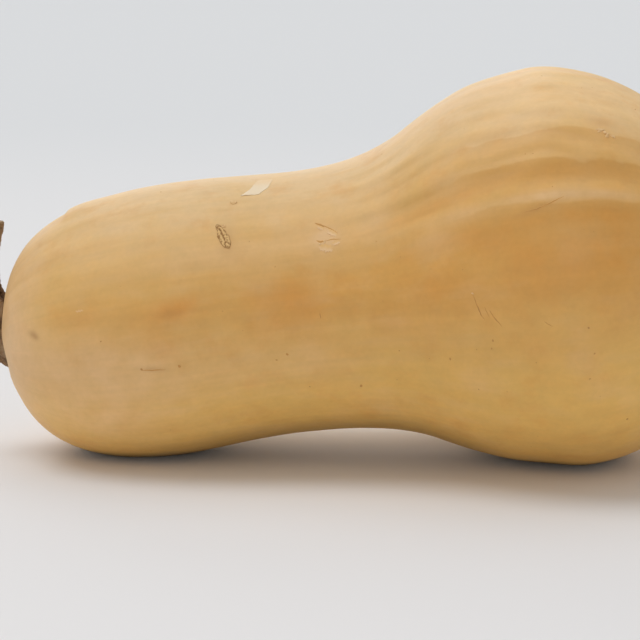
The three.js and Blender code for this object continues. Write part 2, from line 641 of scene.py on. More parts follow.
def curve_points(curve, length, low, high):
    """A curve along the fruit as points from 0 to 1 both ways."""
    along = np.linspace(0, length, CURVE_STEPS + 1)
    heights = (curve(along) - low) / (high - low)
    return list(zip((along / length).tolist(), heights.tolist()))


def past_main_rib(graph, along, turn):
    """Degrees from the main rib, which leans towards the top at the stem."""
    return turn - MAIN_RIB + (1 - graph.clamped(along / RIB_DRIFT_LENGTH)) ** 2 * RIB_DRIFT


def skin_relief(tree, along, turn, radius, place):
    """How far the skin stands proud of the smooth shape, and how strongly it is ribbed there."""
    fade = tree.fade

    def cloud(size, number):
        return tree.noise(place, size, tree.given("Seed") + number, 1)

    body = fade(radius, 12, 40)
    degrees = turn * DEGREES
    past = past_main_rib(tree, along, degrees)
    # The ribs come and go, and are weaker on the neck, on top and low down.
    strength = (
        fade(cloud(38, 1), 0.35, 0.7, 0.1, 2.0)
        * fade(along, 100, 150, 0.6, 1.0)
        * fade(abs(degrees), 60, 90, 1.0, 0.45)
        * fade(abs(degrees), 8, 34, 0.35, 1.0)
    )
    rib = tree.maths("COSINE", past / DEGREES * tree.given("Ribs")) * strength * body
    # The main rib stands out as a ledge, with a furrow above it.
    brow = fade(past, -10, -1.5) * fade(past, 4, 0.5) * fade(along, 60, 175, 0.25, 1.0) * body
    groove = (
        fade(past, -12.5, -10) * fade(past, -2, -7) * fade(along, 110, 155) * fade(along, 225, 205)
    )
    # Wavy wrinkles lie in clumps on the bulb's shoulder.
    shoulder = (
        fade(along, 100, 150)
        * fade(along, 235, 205)
        * fade(abs(degrees), 64, 52)
        * fade(abs(degrees), 8, 34, 0.3, 1.0)
    )
    phase = turn * WRINKLES + (cloud(24, 4) - 0.5) * 11
    wave = tree.maths("SINE", phase - tree.maths("SINE", phase) * 0.5)
    wrinkle = wave * shoulder * fade(cloud(19, 5), 0.38, 0.6, 0.1, 1.0)
    swell = (cloud(42, 2) - 0.5) * 2 + (cloud(16, 3) - 0.5) * 0.7
    # A low fold of skin lies across the top of the neck's end.
    fold = fade(along, 24.5, 26.5) * fade(along, 42, 27) * fade(abs(degrees - 5), 17, 7)
    height = (
        rib * tree.given("Rib Height")
        + brow * tree.given("Brow")
        + wrinkle * tree.given("Wrinkle")
        - groove * tree.given("Groove")
        + swell * body * tree.given("Unevenness")
        + fold * tree.given("Welt")
    )
    return height, rib + wrinkle * 1.5 + brow - groove


FRUIT_LENGTHS = (
    "length", "rib_height", "brow", "wrinkle", "groove", "unevenness", "dimple", "collar", "welt",
)


def fruit_tree(sizes, shape, skin):
    """A round skin pushed out to the fruit's girth, with its relief, and laid on the floor."""
    tree = GeometryTree("Squash Fruit", {
        **{key.replace("_", " ").title(): getattr(sizes, key) / MM for key in FRUIT_LENGTHS},
        "Width Ratio": sizes.width_ratio,
        "Lie Angle": sizes.lie_angle,
        "Shift": float(shape.shift[0]),
        "Lift": float(shape.shift[2]),
        "Ribs": float(sizes.ribs),
        "Rings": FRUIT_RINGS,
        "Segments": FRUIT_SEGMENTS,
        "Seed": 4.0,
        "Skin": skin,
    })
    ball = tree.result("GeometryNodeMeshUVSphere", None, {
        "Segments": tree.given("Segments"), "Rings": tree.given("Rings"), "Radius": 1.0,
    })
    x, y, z = tree.parts(tree.result("GeometryNodeInputPosition"))
    total = tree.given("Length")
    along = (z + 1) * total / 2
    reach = tree.maths("MAXIMUM", (x * x + y * y) ** 0.5, 1e-6)
    side, up = y / reach, x / reach
    turn = tree.maths("ARCTAN2", -side, up)

    def along_curve(curve, low, high):
        points = curve_points(curve, shape.length, low, high)
        share = tree.result("ShaderNodeFloatCurve", {"curve": points}, {"Value": along / total})
        return Value(tree, share) * (high - low) + low

    radius = (
        along_curve(girth_at, 40.0, 70.0)
        * closing(along, STEM_END, tree.clamped)
        * closing(total - along, BLOSSOM_END, tree.clamped)
    )
    height, rib = skin_relief(tree, along, turn, radius, tree.joined(along, side * radius, up * radius))
    out = radius + height
    hollow = tree.fade(radius, DIMPLE_RADIUS, 0) * tree.fade(along, 120, 125) * tree.given("Dimple")
    petal = tree.maths("COSINE", turn * 5) * 0.35 + 1
    collar = tree.fade(radius, 23, 13) * tree.fade(radius, 8, 12) * petal * tree.given("Collar")
    raised = collar * tree.fade(along, 60, 50)
    lengthwise = tree.maths("MAXIMUM", along, SEAT_DEPTH) - hollow - raised
    upward = up * out + along_curve(rise_at, -3.0, 5.0)
    lie = tree.given("Lie Angle")
    cosine, sine = tree.maths("COSINE", lie), tree.maths("SINE", lie)
    across = side * out * tree.given("Width Ratio")
    level = tree.maths("MAXIMUM", lengthwise * sine + upward * cosine + tree.given("Lift"), 0.0)
    target = tree.joined(
        (lengthwise * cosine - upward * sine + tree.given("Shift")) * MM,
        across * MM,
        level * MM,
    )
    kept = tree.stored(ball, "along", "FLOAT", along)
    kept = tree.stored(kept, "around", "FLOAT_VECTOR", tree.joined(0.0, side, up))
    kept = tree.stored(kept, "rib", "FLOAT", rib)
    moved = tree.result("GeometryNodeSetPosition", None, {"Geometry": kept, "Position": target})
    # The ball's height becomes the fruit's length, which mirrors it, so its faces are turned back outward.
    tree.finished(tree.result("GeometryNodeFlipFaces", None, {"Mesh": moved}), "Skin")
    return tree


def patch_cover(shape, along, turn, patches):
    """How strongly the patches cover each point of the skin, from 0 to 1."""
    cover = np.zeros_like(along)
    for centre, middle, long, wide, lean, strength in patches:
        forward = along - centre
        down = ((turn - middle + 180) % 360 - 180) * shape.arc(centre)
        cosine, sine = math.cos(math.radians(lean)), math.sin(math.radians(lean))
        lengthwise = (forward * cosine + down * sine) / long
        crosswise = (down * cosine - forward * sine) / wide
        cover += strength * np.exp(-lengthwise ** 2 - crosswise ** 2)
    return np.minimum(cover, 1)


def paint_patches(fruit, shape):
    """Keeps on the skin's points how far each is in an orange, a pink or a stained patch."""
    mesh = fruit.data
    along = np.empty(len(mesh.vertices), np.float32)
    mesh.attributes["along"].data.foreach_get("value", along)
    around = np.empty(len(mesh.vertices) * 3, np.float32)
    mesh.attributes["around"].data.foreach_get("vector", around)
    _, side, up = around.reshape(-1, 3).T
    turn = np.degrees(np.arctan2(-side, up))
    for name, patches in (("orange", ORANGE_PATCHES), ("pink", PINK_PATCHES), ("stain", STAINS)):
        attribute = mesh.attributes.new(name, "FLOAT", "POINT")
        attribute.data.foreach_set("value", patch_cover(shape, along, turn, patches).astype(np.float32))


def skin_finish(colours):
    """Waxy tan skin: cream on the crown, ochre on the flanks and the bulb, fine fibres from end to end, with
    painted light and shade in its colour.
    """
    finish = Finish("squash_skin")
    along = finish.number("along")
    _, side, up = finish.parts(finish.vector("around"))
    turn = finish.maths("ARCTAN2", abs(side), up) * DEGREES
    # The angle settles at the blossom pole, where every direction meets.
    turn = (turn - 90) * finish.fade(along, 244, 214) + 90
    rib = finish.number("rib")
    place = finish.object_place()
    height = finish.parts(place)[2]
    fade, share = finish.fade, finish.clamped

    def cloud(where, size, seed, detail=3, roughness=0.5):
        return finish.noise(where, size, seed, detail, roughness) - 0.5

    def drawn_out(times, size, seed):
        """A cloud that many times longer than it is wide."""
        flat = finish.joined(along / times, side * PATTERN_RADIUS, up * PATTERN_RADIUS)
        return cloud(flat, size, seed)

    clouds = cloud(place, 21, 3.0)
    mottle = cloud(place, 6.5, 5.0)
    blotch = cloud(place, 9.0, 13.0, 4, 0.6)
    grain = cloud(place, 1.5, 7.0, 2)
    fibre = drawn_out(14, 2.4, 9.0)
    streaks = drawn_out(3, 5.0, 11.0)
    edge = clouds * 30 + mottle * 12
    past = past_main_rib(finish, along, turn) + clouds * 8 + mottle * 3
    bulb = fade(along, 146, 168) * fade(along, 228, 212) * fade(side, 0.1, -0.1)
    creases = (
        fade(past, -12.4, -11.4) * fade(past, -3.5, -8.5)
        + fade(past, -22.4, -21.4) * fade(past, -13, -19) * 0.75
        + fade(past, 0.2, 1.2) * fade(past, 16, 3) * 0.7
    ) * bulb
    flank = fade(turn + edge, 66, 79) * fade(turn + edge, 86, 102, 1.0, 0.0) * fade(along, 15, 60)
    crown = fade(turn + edge, 66, 22) * fade(along, 15, 62, 0.6, 1.0)
    ripe = share(finish.number("orange") * (mottle * 1.6 + 1) + rib * -0.05)
    skin = finish.layered(
        colours.tan,
        (fade(along + edge, 10, 220) * 0.55, colours.ochre),
        (flank * 0.75, colours.ochre),
        (fade(turn + edge * 0.5, 90, 122) * 0.85, colours.straw),
        # Cream on the crown: partly the skin's own paler tone, partly a painted highlight for the whitening
        # of the top under the overhead lamps.
        (crown * 0.9, colours.cream),
        (fade(along + edge * 0.7, 26, 2) * 0.8, colours.blush),
        (share(streaks * 2.4) * 0.45, colours.ochre),
        (share(streaks * -2.4) * 0.4, colours.blush),
        (share(clouds * 2.2) * 0.5, colours.olive),
        (share(clouds * -2.2) * 0.5, colours.blush),
        (share(blotch * 3 - 0.1) * 0.55, colours.orange),
        (share(blotch * -3 - 0.1) * 0.25, colours.olive),
        (ripe * 0.8, colours.orange),
        (finish.number("pink") * (mottle * 1.2 + 0.8), colours.blush),
        (creases * 0.5, colours.ochre),
    )
    # Painted light and shade mixed with the skin's own tone: painted light makes it paler underneath and on
    # top of the bulb; painted shade darkens it below the waist, where the skin meets the floor, in the
    # creases and in the grooves of the ribs and wrinkles, whose crests are a little lighter; the mottle,
    # fibres and grain are the skin's own uneven tone.
    painted_light_and_tone = (
        fade(turn, 100, 140, 0.97, 1.13)
        * fade(height, 0.5, 5.5, 0.38, 1.0)
        * (fade(turn, 136, 158) * fade(abs(along - 100), 66, 45) * -0.24 + 1)
        * (fade(turn, 55, 15) * fade(along, 150, 200) * 0.14 + 1)
        * (rib * 0.018 + 1)
        * (creases * -0.07 + 1)
        * (mottle * 0.16 + 1)
        * (fibre * 0.13 + 1)
        * (grain * 0.1 + 1)
    )
    # The painted light and shade, with the skin's own tone, multiply the colour.
    skin = finish.mixed(1.0, skin, finish.joined(painted_light_and_tone, painted_light_and_tone, painted_light_and_tone), "MULTIPLY")
    skin = finish.mixed(finish.number("stain"), skin, colours.umber)
    relief = mottle * 0.5 + fibre * 0.25 + grain * 0.16
    return finish.shaded(
        base_color=skin,
        roughness=mottle * 0.12 + fibre * 0.1 + 0.52,
        specular_ior_level=0.28,
        normal=finish.bump(relief, 0.1 * MM),
    )


RAY_START = 9.0         # how far outside the skin a ray starts, in millimetres


class Skin:
    """The finished skin, for whatever lies on it."""

    def __init__(self, scene):
        fruit = bpy.data.objects.get("squash_skin")
        if fruit is None:
            raise RuntimeError("The fruit is made before its marks")
        self.shape = FruitShape(scene.squash_fruit)
        corners = [vertex.co for vertex in fruit.data.vertices]
        self.tree = BVHTree.FromPolygons(corners, [tuple(face.vertices) for face in fruit.data.polygons])

    def lay(self, along, turn, proud):
        """The place on the skin, or that far proud of it, and the way out of the skin there."""
        outside = Vector(self.shape.place(along, turn, RAY_START))
        outward = (outside - Vector(self.shape.place(along, turn, -RAY_START))).normalized()
        hit = self.tree.ray_cast(outside * MM, -outward)[0] / MM
        return hit + outward * proud, outward

    def drape(self, along, turn, proud):
        """A grid of points laid on the skin, each its own height proud of it."""
        grid = np.broadcast_arrays(along, turn, proud)
        points = [self.lay(*values)[0] for values in zip(*(part.ravel().tolist() for part in grid))]
        return np.array(points).reshape(*grid[0].shape, 3)


class Spot:
    """A flat map laid on the skin: x runs along a mark and y across it, in millimetres."""

    def __init__(self, skin, along, turn, lean):
        self.skin = skin
        self.along = along
        self.turn = turn
        self.cosine = math.cos(math.radians(lean))
        self.sine = math.sin(math.radians(lean))
        self.arc = skin.shape.arc(along)

    def drape(self, x, y, proud):
        """A grid of points laid on the skin, each its own height proud of it."""
        along = self.along + x * self.cosine - y * self.sine
        turn = self.turn + (x * self.sine + y * self.cosine) / self.arc
        return self.skin.drape(along, turn, proud)


class SQUASH_OT_fruit(bpy.types.Operator):
    """Grow the fruit: its girth, its relief and its skin"""

    bl_idname = "squash.fruit"
    bl_label = "Fruit"

    def execute(self, context):
        scene = context.scene
        sizes = scene.squash_fruit
        shape = FruitShape(sizes)
        fruit = fruit_tree(sizes, shape, skin_finish(scene.squash_skin)).grown("squash_skin")
        paint_patches(fruit, shape)
        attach(fruit, BODY)
        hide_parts("squash_fruit")
        return {"FINISHED"}


# ---- The stem ----

STEM_RINGS = 150
STEM_SEGMENTS = 150
STEM_RIDGES = 5
STEM_TWIST = 0.35       # radians, from foot to cut end
ROOT_DEPTH = 0.9        # how far the foot reaches into the skin, in millimetres
CAP = [                 # share of the cut end's radius, how far it dips in millimetres
    (0.0, 2.3),
    (0.22, 1.9),        # hollow pith
    (0.34, 0.7),
    (0.5, 0.35),
    (0.72, 0.5),
    (0.88, 0.1),        # ring of bark
    (1.0, 0.0),
]
CAP_RINGS = 26
CAP_SHARES = (0.985, 0.04)      # of the radius, from the outermost of those rings to the innermost


def stem_rings(sizes):
    """Rings of points up the stem and over its cut end, with what is painted on them."""
    number = np.linspace(0, len(STEM_SECTIONS) - 1, STEM_RINGS)
    columns = [smooth_through(list(enumerate(column)))(number) for column in zip(*STEM_SECTIONS)]
    # The foot's first ring lies inside the skin, and the rings of the cap share the last section.
    share = np.linspace(*CAP_SHARES, CAP_RINGS)
    pick = np.concatenate([[0], np.arange(STEM_RINGS), np.full(CAP_RINGS, STEM_RINGS - 1)])
    along, side, up, lean, radius = (column[pick][:, None] for column in columns)
    lean = np.radians(lean)
    reach = (number[pick] / number[-1])[:, None]
    inset = np.concatenate([np.ones(STEM_RINGS + 1), share])[:, None]
    lift = np.concatenate([[-ROOT_DEPTH], np.zeros(STEM_RINGS), -np.interp(share, *np.transpose(CAP))])
    lift = lift[:, None]

    turn = np.radians(np.arange(STEM_SEGMENTS) * 360 / STEM_SEGMENTS)[None, :]
    sharp = np.abs(np.cos(STEM_RIDGES / 2 * (turn + STEM_TWIST * reach))) ** 1.5 * 2 - 1
    foot = limited(1 - reach * 5) ** 2
    crest = sharp * (1 - foot) + np.cos(STEM_RIDGES * (turn + STEM_TWIST * reach)) * foot
    flare = (sizes.flare - 0.16 * limited(-np.cos(turn))) * foot
    wide = radius * (1 + sizes.ridge * (1 - 0.4 * reach) * crest + flare) * inset
    outward, beside = wide * np.cos(turn), wide * np.sin(turn)
    rings = np.stack(np.broadcast_arrays(
        along - outward * np.sin(lean) - lift * np.cos(lean) + SEAT_DEPTH - STEM_GAP,
        side - beside,
        up - outward * np.cos(lean) + lift * np.sin(lean),
    ), -1)
    cut = limited((1 - inset) * 12)
    paints = {"reach": reach, "crest": crest, "cut": cut, "inset": inset, "under": np.cos(turn) + 0 * reach}
    paints = {label: np.broadcast_to(values, crest.shape) for label, values in paints.items()}
    return rings, paints


def crusted(rings, crust, cut):
    """Moves the points of the rings in and out, as cracked bark."""
    middle = rings.mean(axis=1, keepdims=True)
    outward = rings - middle
    outward /= np.linalg.norm(outward, axis=-1, keepdims=True) + 1e-9
    stretched = rings * [1, 1, 0.35]
    height = (
        rough(stretched, 1.7, 1)
        + 0.7 * rough(rings, 0.8, 2)
        - 1.3 * np.maximum(rough(stretched, 3.2, 3) - 0.25, 0)
    )
    return rings + outward * (height * crust * (1 - 0.6 * cut))[..., None]


def bark_finish(colours):
    """Dry corky bark, paler at the foot and on its ridges, with a fibrous cut end."""
    finish = Finish("dry_stem")
    place = finish.object_place()
    reach = finish.number("reach")
    crest = finish.number("crest")
    fade = finish.fade
    coarse = finish.noise(place, 2.6, 1.0, 4, 0.6) - 0.5
    granular = finish.noise(place, 0.75, 2.0, 3, 0.65) - 0.5
    strands = finish.result("ShaderNodeMapping", None, {"Vector": place, "Scale": (1.0, 1.0, 0.14)})
    fibre = finish.noise(strands, 0.8, 3.0, 3) - 0.5
    height = crest * 0.3 + coarse * 1.4 + granular * 1.5 + fibre * 0.8
    under = fade(finish.number("under") + coarse, -0.1, 0.9)
    foot = fade(reach + coarse * 0.12, 0.13, 0.02) * (under * 0.85 + 0.15)
    weathered = fade(reach + coarse * 0.2, 0.3, 0.8) * fade(height, -0.9, 0.6)
    hollow = fade(finish.number("inset") + coarse * 0.1, 0.34, 0.2)
    wood = finish.layered(
        colours.brown,
        (fade(granular + coarse, -0.35, 0.3), colours.pith),
        (hollow * 0.8, colours.dark),
    )
    bark = finish.layered(
        colours.dark,
        (fade(height, -0.55, 0.25), colours.brown),
        (fade(height, 0.15, 0.85) * 0.7, colours.pale),
        (weathered * 0.75, colours.pale),
        (foot * 0.75, colours.pale),
        (fade(reach + granular * 0.05, 0.93, 1.0) * 0.6, colours.pale),
        (finish.number("cut"), wood),
    )
    relief = coarse + granular * 1.4 + fibre * 0.9
    return finish.shaded(
        base_color=bark,
        roughness=granular * 0.15 + 0.86,
        specular_ior_level=0.25,
        normal=finish.bump(relief, 0.5 * MM),
    )


class SQUASH_OT_stem(bpy.types.Operator):
    """Raise the dry stem on the neck's end"""

    bl_idname = "squash.stem"
    bl_label = "Stem"

    def execute(self, context):
        scene = context.scene
        sizes = scene.squash_stem
        shape = FruitShape(scene.squash_fruit)
        rings, paints = stem_rings(sizes)
        rings = crusted(rings, sizes.crust / MM, paints["cut"])
        laid = shape.turned(rings[..., 0], rings[..., 1], rings[..., 2])
        stem = tube_piece("dry_stem", laid, bark_finish(scene.squash_bark), paints)
        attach(stem, BODY)
        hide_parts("stem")
        return {"FINISHED"}


# ---- Scars and scratches ----

SCAR = (80.2, 48.8, 70)         # the middle of the corky scar on the neck, and its lean in degrees
SCAR_OUTLINE = [                # share of the length, half width as a share of the whole half width
    (0.0, 0.06),
    (0.06, 0.42),
    (0.16, 0.55),
    (0.24, 0.5),
    (0.34, 0.8),
    (0.55, 1.0),
    (0.8, 0.92),
    (0.93, 0.62),
    (1.0, 0.1),
]
SCAR_PIT = (0.13, 0.05)         # share of the length, size
FLAKE_EDGES = [                 # round, along at the stem side, along at the bulb side
    (12, 91, 95.8),
    (13, 90.7, 96),
    (20.5, 89, 94.9),
    (24.8, 86.9, 92.4),
    (26, 86.0, 91.9),
]
BUTTON = [                      # share of the radius, height over the hollow in millimetres
    (1.0, -0.6),
    (0.97, 0.1),
    (0.85, 0.45),
    (0.6, 0.3),
    (0.36, 0.35),
    (0.24, 0.95),               # dry tip where the flower fell
    (0.12, 1.15),
    (0.02, 1.0),
]
BUTTON_PAINTS = {               # share of the radius, how strong
    "crest": [(0.2, 0.3), (0.4, -0.35), (0.7, 0.1), (1, 0.3)],
    "furrow": [(0.25, 0.1), (0.34, 0.8), (0.5, 0.1), (0.9, 0.3), (1, 1)],
}
SCRATCHES = [                   # width in millimetres, then points along and round
    (0.7, (109.8, 47.8), (111.2, 48.8), (112.8, 50.4)),
    (0.35, (111.2, 48.8), (114.2, 51.2), (117.0, 54.5)),
    (0.7, (109.9, 56.4), (111.4, 57.2), (112.8, 57.0)),
    (0.35, (112.6, 57.2), (115.4, 56.9), (117.7, 57.6)),
    (0.5, (157.3, 87.2), (158.2, 90.6), (159.1, 93.4), (160.0, 94.8)),
    (0.45, (161.7, 92.0), (163.0, 94.4), (164.9, 96.8)),
    (0.3, (160.3, 91.0), (161.4, 94.2)),
    (0.3, (177.8, 96.0), (180.1, 97.5)),
    (0.45, (175.8, 66.2), (179.4, 65.8), (183.2, 64.8), (188.0, 63.1)),
    (0.6, (108.7, 86.6), (108.8, 89.1)),
    (0.35, (50.0, 100.2), (53.6, 100.8), (57.8, 101.4)),
    (0.35, (140.0, -72.0), (144.0, -70.0), (147.0, -70.5)),
    (0.3, (95.0, -101.0), (101.0, -103.0)),
]
MARK_DEPTH = 0.3                # of a scratch's underside in the skin, and a scuffed scale's thickness
SCAR_DEPTH = 0.6                # of the neck scar's underside in the skin
STRIP_HEIGHT = 0.05             # how far the middle of a scratch stands proud
STRIP_STEP = 0.25               # between the points along a scratch
STRIP_GRID = (12, 7)            # the fewest points along a scratch, and the points across it
SCAR_GRID = (110, 44)           # rows and columns of points
FLAKE_GRID = (40, 24)
PEEL_GRID = (26, 12)
BUTTON_GRID = (44, 96)          # rings, and points round each
PEELS = [                       # along, round, length, width, lean: scales of scuffed skin
    (112.8, 60.4, 4.8, 2.4, 20),
    (115.2, 53.8, 3.8, 2.0, 40),
    (111.6, 50.6, 2.4, 1.2, 35),
    (116.2, 58.8, 2.6, 1.4, -10),
    (32.5, 72.0, 2.6, 0.6, 0),
]


def scar_sheet(skin, sizes):
    """A corky spindle with a pit at its narrow end, ringed by a furrow."""
    share = np.linspace(0, 1, SCAR_GRID[0])[:, None]
    across = np.linspace(-1, 1, SCAR_GRID[1])[None, :]
    half = sizes.scar_width / MM / 2 * np.interp(share, *np.transpose(SCAR_OUTLINE))
    wander = 0.07 * np.sin(share * 17) + 0.03 * np.sin(share * 41 + 1)
    x = (share - 0.5) * sizes.scar_length / MM + across * 0
    y = half * across * (1 + 0.05 * np.sin(share * 27 + across * 2)) + wander
    round_top = (1 - across ** 2) ** 0.4
    grit = np.stack([x, y, np.zeros_like(x)], -1)
    ridges = 0.6 * rough(grit * [0.55, 1.2, 1], 0.8, 5) + 0.4 * rough(grit, 0.55, 6)
    place, size = SCAR_PIT
    pit = np.exp(-((share - place) ** 2 + (across * 0.11) ** 2) / size ** 2)
    high = sizes.scar_height / MM * np.minimum(share * 8, 1) ** 0.5
    proud = round_top * high * (0.7 + 0.9 * ridges) - pit * 0.8 * high
    furrow = limited((np.abs(across) - 0.72) / 0.2) * 0.8 + pit * 1.3 + limited(0.07 - share) * 12
    spot = Spot(skin, *SCAR)
    top = spot.drape(x, y, proud)
    return top, spot.drape(x, y * 0.9, np.full_like(x, -SCAR_DEPTH)), {
        "crest": ridges + 0 * x, "furrow": limited(furrow + 0 * x),
    }


def flake_sheet(skin, sizes):
    """A film of dry skin that has peeled, with its lower edge curled up."""
    edges = np.transpose(FLAKE_EDGES)
    turn = np.linspace(edges[0][0], edges[0][-1], FLAKE_GRID[0])[:, None]
    share = np.linspace(0, 1, FLAKE_GRID[1])[None, :]
    left, right = np.interp(turn, edges[0], edges[1]), np.interp(turn, edges[0], edges[2])
    down = (turn - turn[0]) / (turn[-1] - turn[0])
    along = left + (right - left) * share + 0.06 * np.sin(turn * 2.1)
    ragged = turn + 0.15 * np.sin(share * 19) * down
    curl = 0.16 * limited((down - 0.6) / 0.4) ** 2 * (1 - share * 0.7)
    proud = 0.06 + curl + 0.02 * np.sin(along * 1.3 + turn * 0.5)
    thickness = sizes.flake_thickness / MM
    shade = limited(down * 1.3) + 0 * along
    return skin.drape(along, ragged, proud), skin.drape(along, ragged, proud - thickness), {"edge": shade}


def strip_sheet(skin, width, path):
    """A thin strip laid on the skin along a path, tapering to both ends."""
    places = np.array(path, float)
    arc = skin.shape.arc(places[:, 0].mean())
    steps = np.hypot(np.diff(places[:, 0]), np.diff(places[:, 1]) * arc)
    walked = np.concatenate([[0], np.cumsum(steps)])
    at = np.linspace(0, walked[-1], max(STRIP_GRID[0], int(walked[-1] / STRIP_STEP)))
    along, turn = (np.interp(at, walked, column) for column in places.T)
    shake = 0.12 * rough(np.stack([at, at * 0, at * 0], -1), 0.9, 8 + width)
    ahead = np.stack([np.gradient(along), np.gradient(turn) * arc], -1)
    ahead /= np.linalg.norm(ahead, axis=-1, keepdims=True)
    across = np.linspace(-1, 1, STRIP_GRID[1])[None, :]
    taper = np.sin(np.pi * np.clip(at / at[-1], 0.03, 0.97)) ** 0.6
    half = (width / 2 * taper)[:, None] * across + shake[:, None]
    x = along[:, None] - half * ahead[:, 1:]
    y = turn[:, None] + half * ahead[:, :1] / arc
    top = skin.drape(x, y, STRIP_HEIGHT * (1 - across ** 2) + 0 * x)
    return top, skin.drape(x, y, np.full_like(x, -MARK_DEPTH)), {"line": (1 - np.abs(across)) + 0 * x}


def peel_sheet(skin, along, turn, long, wide, lean):
    """A small ragged scale of skin, lifted along one side."""
    share = np.linspace(-1, 1, PEEL_GRID[0])[:, None]
    across = np.linspace(-1, 1, PEEL_GRID[1])[None, :]
    half = wide / 2 * (1 - share ** 2) ** 0.5 + 0.02
    x = share * long / 2 + 0 * across
    y = across * half * (1 + 0.25 * np.sin(share * 17)) + 0.15 * np.sin(share * 9)
    proud = 0.03 + 0.09 * limited(across) ** 2 * (1 - share ** 2) + 0 * x
    spot = Spot(skin, along, turn, lean)
    return spot.drape(x, y, proud), spot.drape(x, y, proud - MARK_DEPTH), {"edge": (across + 1) / 2 + 0 * x}


def button_rings(shape, sizes, dimple):
    """The blossom's round scar, from its rim inside the skin to its dry tip."""
    share = np.linspace(BUTTON[0][0], BUTTON[-1][0], BUTTON_GRID[0])[:, None]
    turn = np.radians(np.arange(BUTTON_GRID[1]) * 360 / BUTTON_GRID[1])[None, :]
    radius = sizes.button_radius / MM * share * (1 + 0.05 * np.cos(turn * 5) + 0.03 * np.sin(turn * 9))
    inward = 1 - limited(radius / DIMPLE_RADIUS)
    dip = dimple * inward ** 2 * (3 - 2 * inward)
    bumps = np.stack([radius * np.cos(turn), radius * np.sin(turn), 0 * radius], -1)
    profile = np.array(BUTTON)[::-1].T
    height = np.interp(share, *profile) + 0.14 * rough(bumps, 0.8, 11) * np.minimum((1 - share) * 8, 1)
    cracks = np.abs(np.sin(turn * 7 + 0.6 * np.sin(turn * 3))) ** 6 * 0.18 * (share > 0.4)
    along = shape.length - dip + height - cracks
    side, up = -radius * np.sin(turn), radius * np.cos(turn)
    return shape.turned(along, side, up + rise_at(shape.length)), share + 0 * turn


def cork_finish(colours):
    """Golden cork with brown furrows."""
    finish = Finish("cork")
    place = finish.object_place()
    grit = finish.noise(place, 0.7, 4.0, 3, 0.6) - 0.5
    crest = finish.number("crest")
    cork = finish.mixed(finish.fade(crest * 1.6 + grit * 0.8, -0.45, 0.3), colours.rust, colours.cork)
    furrow = finish.fade(finish.number("furrow") + grit * 0.6, 0.3, 1.0)
    cork = finish.mixed(furrow * 0.85, cork, colours.rust)
    return finish.shaded(
        base_color=cork,
        roughness=grit * 0.2 + 0.75,
        specular_ior_level=0.3,
        normal=finish.bump(grit, 0.3 * MM),
    )


def film_finish(name, inner, outer):
    """Dry peeled skin, thin and pale, that changes from one colour to another at its lifted edge."""
    finish = Finish(name)
    cloud = finish.noise(finish.object_place(), 2.5, 6.0, 3) - 0.5
    film = finish.mixed(finish.fade(finish.number("edge") + cloud * 0.8, 0.0, 0.9), inner, outer)
    return finish.shaded(
        base_color=film,
        roughness=cloud * 0.2 + 0.5,
        normal=finish.bump(cloud, 0.1 * MM),
    )


def scratch_finish(colours):
    """Dried scratches, darkest along their middle."""
    finish = Finish("dried_scratch")
    cloud = finish.noise(finish.object_place(), 1.8, 7.0, 3) - 0.5
    depth = finish.fade(finish.number("line") + cloud * 1.3, 0.1, 0.95)
    skin = finish.mixed(depth * 0.62, colours.ochre, colours.umber)
    return finish.shaded(base_color=skin, roughness=cloud * 0.2 + 0.7)


def claimed(piece):
    """Rides a mark on the squash."""
    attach(piece, BODY)


class SQUASH_OT_scars(bpy.types.Operator):
    """Lay the corky scar, the peeled flake and the blossom's scar on the skin"""

    bl_idname = "squash.scars"
    bl_label = "Scars"

    def execute(self, context):
        scene = context.scene
        skin = Skin(scene)
        sizes = scene.squash_marks
        cork = cork_finish(scene.squash_bark)
        claimed(joined_sheets("neck_scar", [scar_sheet(skin, sizes)], cork))
        colours = scene.squash_skin
        film = film_finish("dry_film", colours.cream, colours.film)
        claimed(joined_sheets("peeled_flake", [flake_sheet(skin, sizes)], film))
        rings, share = button_rings(skin.shape, sizes, scene.squash_fruit.dimple / MM)
        paints = {label: np.interp(share, *np.transpose(paint)) for label, paint in BUTTON_PAINTS.items()}
        claimed(tube_piece("blossom_scar", rings, cork, paints))
        return {"FINISHED"}


class SQUASH_OT_scratches(bpy.types.Operator):
    """Draw the dried scratches and the scuffed skin beside them"""

    bl_idname = "squash.scratches"
    bl_label = "Scratches"

    def execute(self, context):
        scene = context.scene
        skin = Skin(scene)
        colours = scene.squash_skin
        lines = [strip_sheet(skin, width, path) for width, *path in SCRATCHES]
        claimed(joined_sheets("scratches", lines, scratch_finish(colours)))
        scales = [peel_sheet(skin, *peel) for peel in PEELS]
        film = film_finish("scuffed_film", colours.tan, colours.blush)
        claimed(joined_sheets("scuffed_skin", scales, film))
        return {"FINISHED"}


# ---- Specks, crumbs and freckles ----

